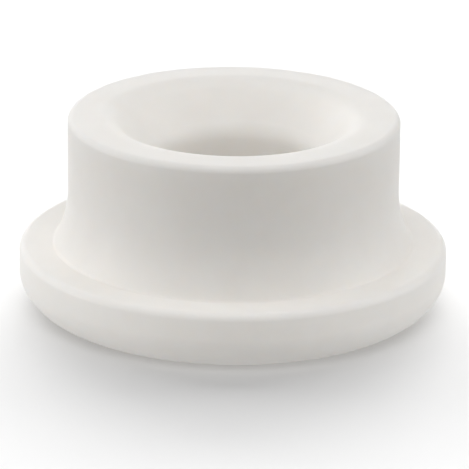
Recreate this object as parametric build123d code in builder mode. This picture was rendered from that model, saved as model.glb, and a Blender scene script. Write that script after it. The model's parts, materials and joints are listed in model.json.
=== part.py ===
from build123d import *
import os
from math import cos, radians, sin, tan

# Driving dimensions of the insulator ring, in millimetres and degrees.
# It stands on its flat foot, with the neck and the funnel mouth up.

# Neck: the plain round collar above the flange
neck_diameter = 20.0
neck_height = 8.0
neck_edge_round = 0.4

# Flare: the hollow curve by which the neck widens before it meets the flange
flare_radius = 7.0
flare_angle = 29.0

# Flange: the wide rim, with a straight wall and a large radius below it
flange_diameter = 25.9
rim_height = 1.95
rim_edge_round = 0.45
underside_radius = 2.5
underside_break_angle = 14.0

# Bore: a straight hole with a funnel mouth at the top
bore_diameter = 9.6
mouth_diameter = 15.0
mouth_angle = 90.0
mouth_round = 1.1
throat_round = 0.8
foot_chamfer = 0.3

# Sizes that follow from them
neck_radius = neck_diameter / 2
flange_radius = flange_diameter / 2
bore_radius = bore_diameter / 2
mouth_radius = mouth_diameter / 2
underside_height = underside_radius * (1 - sin(radians(underside_break_angle)))
foot_radius = flange_radius - underside_radius * cos(radians(underside_break_angle))
flange_top = underside_height + rim_height
flare_start = flange_top + flare_radius * sin(radians(flare_angle))
total_height = flange_top + neck_height
throat_height = total_height - (mouth_radius - bore_radius) / tan(radians(mouth_angle / 2))

# Insulator: one turned ring, so its half section is drawn once and revolved
with BuildPart() as insulator:
    with BuildSketch(Plane.XZ) as section:
        with BuildLine():
            foot = Line((bore_radius, 0), (foot_radius, 0))
            underside = JernArc(
                start=foot @ 1,
                tangent=foot % 1,
                radius=underside_radius,
                arc_size=90 - underside_break_angle,
            )
            rim = Line(underside @ 1, (flange_radius, flange_top))
            flare = JernArc(
                start=(neck_radius, flare_start),
                tangent=(0, -1),
                radius=flare_radius,
                arc_size=flare_angle,
            )
            Line(rim @ 1, flare @ 1)
            neck = Line(flare @ 0, (neck_radius, total_height))
            top = Line(neck @ 1, (mouth_radius, total_height))
            funnel = Line(top @ 1, (bore_radius, throat_height))
            Line(funnel @ 1, foot @ 0)
        make_face()
        # Roundings of the section's corners, each found by where it lies
        corners = [
            (neck_radius, total_height, neck_edge_round),
            (mouth_radius, total_height, mouth_round),
            (bore_radius, throat_height, throat_round),
            (flange_radius, flange_top, rim_edge_round),
        ]
        for across, up, size in corners:
            corner = section.vertices().sort_by_distance((across, up))[0]
            fillet(corner, radius=size)
        foot_corner = section.vertices().sort_by_distance((bore_radius, 0))[0]
        chamfer(foot_corner, length=foot_chamfer)
    revolve(axis=Axis.Z)

insulator.part.label = "insulator"

os.makedirs("parts", exist_ok=True)
export_step(insulator.part, "parts/insulator.step")
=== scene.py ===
"""A turned insulator ring of white fluoropolymer on a plain pale floor."""

import json
from math import acos, asin, cos, pi, radians, sin, tan

import bpy
from mathutils import Matrix, Vector

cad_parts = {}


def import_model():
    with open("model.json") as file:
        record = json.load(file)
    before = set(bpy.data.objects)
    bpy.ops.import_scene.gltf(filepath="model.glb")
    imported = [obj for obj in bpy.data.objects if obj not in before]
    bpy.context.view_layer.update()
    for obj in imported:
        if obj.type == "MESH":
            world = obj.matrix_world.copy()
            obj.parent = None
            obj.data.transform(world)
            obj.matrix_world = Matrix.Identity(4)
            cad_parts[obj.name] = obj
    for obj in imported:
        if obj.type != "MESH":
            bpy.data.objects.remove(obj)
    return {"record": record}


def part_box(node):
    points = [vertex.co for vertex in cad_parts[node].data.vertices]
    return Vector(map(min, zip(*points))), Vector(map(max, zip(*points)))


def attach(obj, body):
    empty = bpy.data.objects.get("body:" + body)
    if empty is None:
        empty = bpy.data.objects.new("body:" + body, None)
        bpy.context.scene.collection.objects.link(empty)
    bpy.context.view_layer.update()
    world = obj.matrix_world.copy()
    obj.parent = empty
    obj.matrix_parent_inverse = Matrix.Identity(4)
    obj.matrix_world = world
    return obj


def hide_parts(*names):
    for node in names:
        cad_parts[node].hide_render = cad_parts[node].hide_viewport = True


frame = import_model()
bpy.context.view_layer.update()

MM = 0.001  # Blender works in metres, and the sizes below are millimetres

# The ring's half section, read from the frame as far as it knows it
low_corner, high_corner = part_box("insulator")
mounts = {mount["name"]: mount for mount in frame["record"]["mounts"]}
TOTAL_HEIGHT = (high_corner.z - low_corner.z) / MM
FLANGE_RADIUS = (high_corner.x - low_corner.x) / 2 / MM
NECK_RADIUS = mounts["neck"]["dims"]["r_mm"]
BORE_RADIUS = mounts["bore"]["dims"]["r_mm"]
MOUTH_RADIUS = 7.4
FUNNEL_ANGLE = radians(45)  # from upright, so it is as deep as it is wide
NECK_HEIGHT = 8.0
FLARE_RADIUS = 7.0
FLARE_ANGLE = radians(29)
UNDERSIDE_RADIUS = 2.5
UNDERSIDE_BREAK = radians(14)

# Roundings of its edges. The mouth's and the throat's are softer than the solid's
NECK_EDGE_ROUND = 0.4
MOUTH_ROUND = 1.8
THROAT_ROUND = 1.6
FLARE_ROOT_ROUND = 0.2
RIM_EDGE_ROUND = 0.45
BREAK_ROUND = 2.0
FOOT_EDGE_ROUND = 0.3

# How finely the ring is divided: steps round it, and steps along each arc of the section.
# Points of the section that are nearer to each other than the gap, in millimetres, are one point
TURN_STEPS = 360
ARC_STEPS = 14
SAME_POINT_GAP = 1e-4

# Plastic: how it bends light and how deep light goes into it, in millimetres, by red, green and
# blue. Then the two colours of its faint clouds, the range of its roughness, and the sizes of what
# varies on it, in millimetres. The depths of its relief are in micrometres
PLASTIC_IOR = 1.35
GLOW_SHARE = 0.5
GLOW_DEPTH = 2.0
GLOW_BY_COLOUR = (1.0, 0.9, 0.8)
CLOUD_SHADE = (0.893, 0.866, 0.826)
CLOUD_LIGHT = (0.937, 0.914, 0.878)
ROUGHNESS = (0.38, 0.52)
CLOUD_SIZE = 1.6
GLOSS_SIZE = 0.8
LINE_SIZE = 0.16
LINE_DEPTH = 0.6
GRAIN_SIZE = 0.14
GRAIN_DEPTH = 0.7
NOISE_MIDDLE = (0.25, 0.75)  # where most of a noise's values lie

# Camera: it looks at a point near the axis, and the picture is tipped a little
CAMERA_DISTANCE = 261.0
CAMERA_ELEVATION = radians(19.572)
CAMERA_TIP = radians(0.589)
AIM = Vector((0.09, 0.0, 4.208))
LENS = 330.1
SENSOR = 36.0
NEAREST_SEEN = 10.0
FARTHEST_SEEN = 10000.0

# Lamps. Each one shines from so many degrees to the right of the camera and so many above
# the floor, is so many degrees wide, and at a strength of 1 shows a white wall that faces it
# as white. Some light the ring and some the floor, and all of them throw the ring's shadow
RING_LAMPS = {
    "top": (0, 90, 50, 0.185),
    "front": (0, 55, 50, 0.25),
    "left_high": (270, 55, 50, 0.11),
    "left_low": (270, 2, 40, 0.39),
    "front_left": (315, 18, 50, 0.16),
    "right": (90, 18, 50, 0.46),
    "back_left": (225, 18, 50, 0.205),
    "back": (180, 2, 40, 0.135),
}
FLOOR_LAMPS = {
    "sky": (0, 90, 175, 0.3),
    "low_front": (0, 40, 60, 0.27),
    "low_back": (180, 15, 60, 0.81),
    "low_back_right": (150, 30, 60, 0.51),
    "low_back_left": (210, 30, 60, 0.49),
}

# Floor, and the light that the ring gets from it, as (distance from the ring's axis, strength).
# It is dim in the ring's own shade, bright around it, and fades out at the edge of the lit patch
FLOOR_WIDTH = 4000.0
FLOOR_COLOUR = (0.9, 0.9, 0.9)
BOUNCE_REACH = 50.0
BOUNCE = [(9.0, 0.455), (18.0, 0.64), (26.0, 0.7), (36.0, 0.0)]


def arc(middle, radius, first, last, hollow=False):
    """Points of an arc in the section, each with its normal, which faces the middle of a hollow arc."""
    points = []
    for i in range(ARC_STEPS + 1):
        angle = first + (last - first) * i / ARC_STEPS
        spoke = Vector((cos(angle), sin(angle)))
        points.append((Vector(middle) + radius * spoke, -spoke if hollow else spoke))
    return points


def half_section():
    """The section's outline from the foot outwards, up the outside and down the bore.
    It is a list of arcs, and straight walls are what joins one to the next."""
    flange_top = TOTAL_HEIGHT - NECK_HEIGHT
    throat_height = TOTAL_HEIGHT - (MOUTH_RADIUS - BORE_RADIUS)

    # Both of the funnel's arcs turn by its angle, and each touches its walls this far from the corner
    funnel_turn = pi - FUNNEL_ANGLE
    mouth_reach = MOUTH_ROUND * tan(FUNNEL_ANGLE / 2)
    throat_reach = THROAT_ROUND * tan(FUNNEL_ANGLE / 2)
    mouth_middle = (MOUTH_RADIUS + mouth_reach, TOTAL_HEIGHT - MOUTH_ROUND)
    throat_middle = (BORE_RADIUS + THROAT_ROUND, throat_height - throat_reach)

    # The underside's arc runs into a tighter one, which ends upright in the rim's wall
    foot_radius = FLANGE_RADIUS - UNDERSIDE_RADIUS * cos(UNDERSIDE_BREAK)
    break_across = FLANGE_RADIUS - BREAK_ROUND
    break_turn = -acos((break_across - foot_radius) / (UNDERSIDE_RADIUS - BREAK_ROUND))
    break_up = UNDERSIDE_RADIUS + (UNDERSIDE_RADIUS - BREAK_ROUND) * sin(break_turn)

    # The flare's arc runs into the small one at its root, which ends level in the flange
    flare_up = flange_top + FLARE_RADIUS * sin(FLARE_ANGLE)
    root_up = flange_top + FLARE_ROOT_ROUND
    root_reach = FLARE_RADIUS - FLARE_ROOT_ROUND
    root_turn = asin((flare_up - root_up) / root_reach)
    root_across = NECK_RADIUS + FLARE_RADIUS - root_reach * cos(root_turn)

    return [
        arc((BORE_RADIUS + FOOT_EDGE_ROUND, FOOT_EDGE_ROUND), FOOT_EDGE_ROUND, -pi, -pi / 2),
        arc((foot_radius, UNDERSIDE_RADIUS), UNDERSIDE_RADIUS, -pi / 2, break_turn),
        arc((break_across, break_up), BREAK_ROUND, break_turn, 0),
        arc((FLANGE_RADIUS - RIM_EDGE_ROUND, flange_top - RIM_EDGE_ROUND), RIM_EDGE_ROUND, 0, pi / 2),
        arc((root_across, root_up), FLARE_ROOT_ROUND, -pi / 2, root_turn - pi, hollow=True),
        arc((NECK_RADIUS + FLARE_RADIUS, flare_up), FLARE_RADIUS, root_turn - pi, -pi, hollow=True),
        arc((NECK_RADIUS - NECK_EDGE_ROUND, TOTAL_HEIGHT - NECK_EDGE_ROUND), NECK_EDGE_ROUND, 0, pi / 2),
        arc(mouth_middle, MOUTH_ROUND, pi / 2, funnel_turn),
        arc(throat_middle, THROAT_ROUND, funnel_turn, pi),
    ]


def ring():
    """The insulator as one closed surface, turned from its section."""
    outline = []
    for piece in half_section():
        for point, normal in piece:
            if not outline or (point - outline[-1][0]).length > SAME_POINT_GAP:
                outline.append((point, normal))
    verts, normals, faces = [], [], []
    count = len(outline)
    for j in range(TURN_STEPS):
        turn = Matrix.Rotation(2 * pi * j / TURN_STEPS, 3, "Z")
        for point, normal in outline:
            verts.append(turn @ Vector((point.x, 0, point.y)) * MM)
            normals.append(turn @ Vector((normal.x, 0, normal.y)))
        here, there = j * count, (j + 1) % TURN_STEPS * count
        for i in range(count):
            k = (i + 1) % count
            faces.append((here + i, there + i, there + k, here + k))
    mesh = bpy.data.meshes.new("ring")
    mesh.from_pydata(verts, [], faces)
    mesh.shade_smooth()
    mesh.normals_split_custom_set_from_vertices(normals)
    body = bpy.data.objects.new("ring", mesh)
    bpy.context.collection.objects.link(body)
    return body


def fluoropolymer():
    """White, slightly warm plastic that lets a little light in. It is faintly cloudy, and its satin
    surface has a fine grain and fine lines round the axis, as turning leaves them."""
    material = bpy.data.materials.new("white_fluoropolymer")
    material.use_nodes = True
    tree = material.node_tree
    shader = tree.nodes["Principled BSDF"]
    shader.inputs["IOR"].default_value = PLASTIC_IOR
    shader.inputs["Subsurface Weight"].default_value = GLOW_SHARE
    shader.inputs["Subsurface Radius"].default_value = GLOW_BY_COLOUR
    shader.inputs["Subsurface Scale"].default_value = GLOW_DEPTH * MM

    place = tree.nodes.new("ShaderNodeTexCoord").outputs["Object"]
    clouds = noise(tree, place, CLOUD_SIZE, detail=4)
    colour = tree.nodes.new("ShaderNodeMix")
    colour.data_type = "RGBA"
    colour.inputs["A"].default_value = (*CLOUD_SHADE, 1)
    colour.inputs["B"].default_value = (*CLOUD_LIGHT, 1)
    tree.links.new(clouds, colour.inputs["Factor"])
    tree.links.new(colour.outputs["Result"], shader.inputs["Base Color"])
    gloss = spread(tree, noise(tree, place, GLOSS_SIZE, detail=3), *ROUGHNESS)
    tree.links.new(gloss, shader.inputs["Roughness"])

    lines = bump(tree, noise(tree, along_section(tree, place), LINE_SIZE, detail=2), LINE_DEPTH)
    grain = bump(tree, noise(tree, place, GRAIN_SIZE, detail=3), GRAIN_DEPTH, over=lines)
    tree.links.new(grain, shader.inputs["Normal"])
    return material


def noise(tree, place, size, detail):
    """Noise between 0 and 1, whose blots are about so many millimetres wide."""
    node = tree.nodes.new("ShaderNodeTexNoise")
    node.inputs["Scale"].default_value = 1 / (size * MM)
    node.inputs["Detail"].default_value = detail
    tree.links.new(place, node.inputs["Vector"])
    return node.outputs["Fac"]


def spread(tree, value, low, high):
    """The middle half of a noise's values, spread between two others."""
    node = tree.nodes.new("ShaderNodeMapRange")
    node.inputs["From Min"].default_value = NOISE_MIDDLE[0]
    node.inputs["From Max"].default_value = NOISE_MIDDLE[1]
    node.inputs["To Min"].default_value = low
    node.inputs["To Max"].default_value = high
    tree.links.new(value, node.inputs["Value"])
    return node.outputs["Result"]


def bump(tree, height, depth, over=None):
    """Relief of so many micrometres, on top of another where one is given."""
    node = tree.nodes.new("ShaderNodeBump")
    node.inputs["Distance"].default_value = depth * MM / 1000
    tree.links.new(height, node.inputs["Height"])
    if over:
        tree.links.new(over, node.inputs["Normal"])
    return node.outputs["Normal"]


def along_section(tree, place):
    """A place in the section: the distance from the axis and the height, the same all round."""
    flat = tree.nodes.new("ShaderNodeVectorMath")
    flat.operation = "MULTIPLY"
    flat.inputs[1].default_value = (1, 1, 0)
    across = tree.nodes.new("ShaderNodeVectorMath")
    across.operation = "LENGTH"
    split = tree.nodes.new("ShaderNodeSeparateXYZ")
    join = tree.nodes.new("ShaderNodeCombineXYZ")
    tree.links.new(place, flat.inputs[0])
    tree.links.new(flat.outputs["Vector"], across.inputs[0])
    tree.links.new(place, split.inputs[0])
    tree.links.new(across.outputs["Value"], join.inputs["X"])
    tree.links.new(split.outputs["Z"], join.inputs["Z"])
    return join.outputs["Vector"]


def floor():
    """A pale floor. What is seen of it lies in the floor lamps' light, with the ring's shadow,
    and what the ring gets from it is the light of a bright patch around the ring."""
    side = FLOOR_WIDTH * MM / 2
    corners = [(-side, -side, 0), (side, -side, 0), (side, side, 0), (-side, side, 0)]
    mesh = bpy.data.meshes.new("floor")
    mesh.from_pydata(corners, [], [(0, 1, 2, 3)])
    plane = bpy.data.objects.new("floor", mesh)
    bpy.context.collection.objects.link(plane)
    material = bpy.data.materials.new("pale_floor")
    material.use_nodes = True
    tree = material.node_tree
    tree.nodes.clear()
    output = tree.nodes.new("ShaderNodeOutputMaterial")
    paper = tree.nodes.new("ShaderNodeBsdfDiffuse")
    paper.inputs["Color"].default_value = (*FLOOR_COLOUR, 1)
    bounce = tree.nodes.new("ShaderNodeEmission")
    tree.links.new(bounce_by_distance(tree), bounce.inputs["Color"])
    mix = tree.nodes.new("ShaderNodeMixShader")
    tree.links.new(seen_ray(tree), mix.inputs[0])
    tree.links.new(bounce.outputs[0], mix.inputs[1])
    tree.links.new(paper.outputs[0], mix.inputs[2])
    tree.links.new(mix.outputs[0], output.inputs["Surface"])
    mesh.materials.append(material)
    return plane


def bounce_by_distance(tree):
    """The strength of the floor's light on the ring, from the distance to the ring's axis."""
    place = tree.nodes.new("ShaderNodeNewGeometry")
    distance = tree.nodes.new("ShaderNodeVectorMath")
    distance.operation = "LENGTH"
    share = tree.nodes.new("ShaderNodeMath")
    share.operation = "DIVIDE"
    share.inputs[1].default_value = BOUNCE_REACH * MM
    ramp = tree.nodes.new("ShaderNodeValToRGB")
    steps = ramp.color_ramp.elements
    steps.remove(steps[0])
    for reach, strength in BOUNCE:
        steps.new(reach / BOUNCE_REACH).color = (strength, strength, strength, 1)
    steps.remove(steps[-1])
    tree.links.new(place.outputs["Position"], distance.inputs[0])
    tree.links.new(distance.outputs["Value"], share.inputs[0])
    tree.links.new(share.outputs[0], ramp.inputs["Fac"])
    return ramp.outputs["Color"]


def seen_ray(tree):
    """1 for a ray from the camera, a reflection or something clear, and 0 for light."""
    path = tree.nodes.new("ShaderNodeLightPath")
    total = path.outputs["Is Camera Ray"]
    for name in ("Is Glossy Ray", "Is Transmission Ray"):
        add = tree.nodes.new("ShaderNodeMath")
        add.operation = "MAXIMUM"
        tree.links.new(total, add.inputs[0])
        tree.links.new(path.outputs[name], add.inputs[1])
        total = add.outputs[0]
    return total


def world():
    """White where it is seen, and dark otherwise. The lamps give the light."""
    backdrop = bpy.data.worlds.new("backdrop")
    bpy.context.scene.world = backdrop
    backdrop.use_nodes = True
    tree = backdrop.node_tree
    shade = tree.nodes["Background"]
    shade.inputs["Color"].default_value = (1, 1, 1, 1)
    tree.links.new(seen_ray(tree), shade.inputs["Strength"])


def lamps(places, lit):
    """Soft lamps that light one object. All objects throw shadows in their light."""
    receivers = bpy.data.collections.new(lit.name + "_lit")
    receivers.objects.link(lit)
    for name, (side, height, width, strength) in places.items():
        light = bpy.data.lights.new(name, "SUN")
        light.energy = pi * strength
        light.angle = radians(width)
        shine = bpy.data.objects.new(name, light)
        shine.rotation_euler = (radians(90 - height), 0, radians(side))
        shine.light_linking.receiver_collection = receivers
        bpy.context.collection.objects.link(shine)


def camera():
    """The camera at the photograph's angle, with a long lens and without shift."""
    lens = bpy.data.cameras.new("camera")
    lens.lens = LENS
    lens.sensor_width = SENSOR
    lens.clip_start = NEAREST_SEEN * MM
    lens.clip_end = FARTHEST_SEEN * MM
    eye = bpy.data.objects.new("camera", lens)
    back = Vector((0, -cos(CAMERA_ELEVATION), sin(CAMERA_ELEVATION)))
    turned = back.to_track_quat("Z", "Y").to_matrix() @ Matrix.Rotation(CAMERA_TIP, 3, "Z")
    eye.matrix_world = Matrix.Translation((AIM + CAMERA_DISTANCE * back) * MM) @ turned.to_4x4()
    bpy.context.collection.objects.link(eye)
    bpy.context.scene.camera = eye


insulator = ring()
insulator.data.materials.append(fluoropolymer())
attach(insulator, "root")
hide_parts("insulator")
ground = floor()
world()
lamps(RING_LAMPS, insulator)
lamps(FLOOR_LAMPS, ground)
camera()
bpy.context.scene.view_settings.view_transform = "Standard"

bpy.context.view_layer.update()
